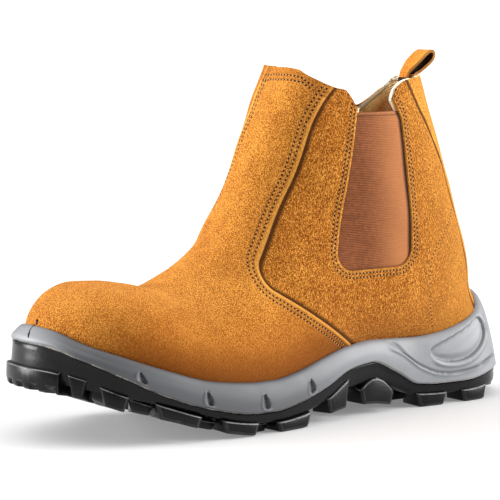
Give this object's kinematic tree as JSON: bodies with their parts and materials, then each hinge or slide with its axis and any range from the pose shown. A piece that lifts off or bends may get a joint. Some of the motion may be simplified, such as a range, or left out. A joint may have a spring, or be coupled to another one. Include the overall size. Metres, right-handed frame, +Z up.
{
  "type": "ankle boot",
  "caption": "Left pull-on suede ankle boot with elastic side panels, a pull loop and a lugged two-layer moulded sole, made to be slipped on without laces.",
  "frame": {"origin": "middle of the boot's box on the floor it stands on", "axes": "-X towards the toe, -Y towards the outer side of the foot, +Z up"},
  "size_m": [0.3029, 0.106, 0.197],
  "materials": {
    "black_rubber": "matt moulded rubber",
    "midsole_foam": "satin moulded polyurethane",
    "insole_felt": "felted textile",
    "suede": "brushed suede nap",
    "elastic": "ribbed elastic webbing"
  },
  "bodies": {
    "root": {"outsole": "black_rubber", "midsole": "midsole_foam", "insole": "insole_felt", "upper": "suede", "gore_left": "elastic", "gore_right": "elastic", "pull_loop": "suede"}
  },
  "joints": []
}
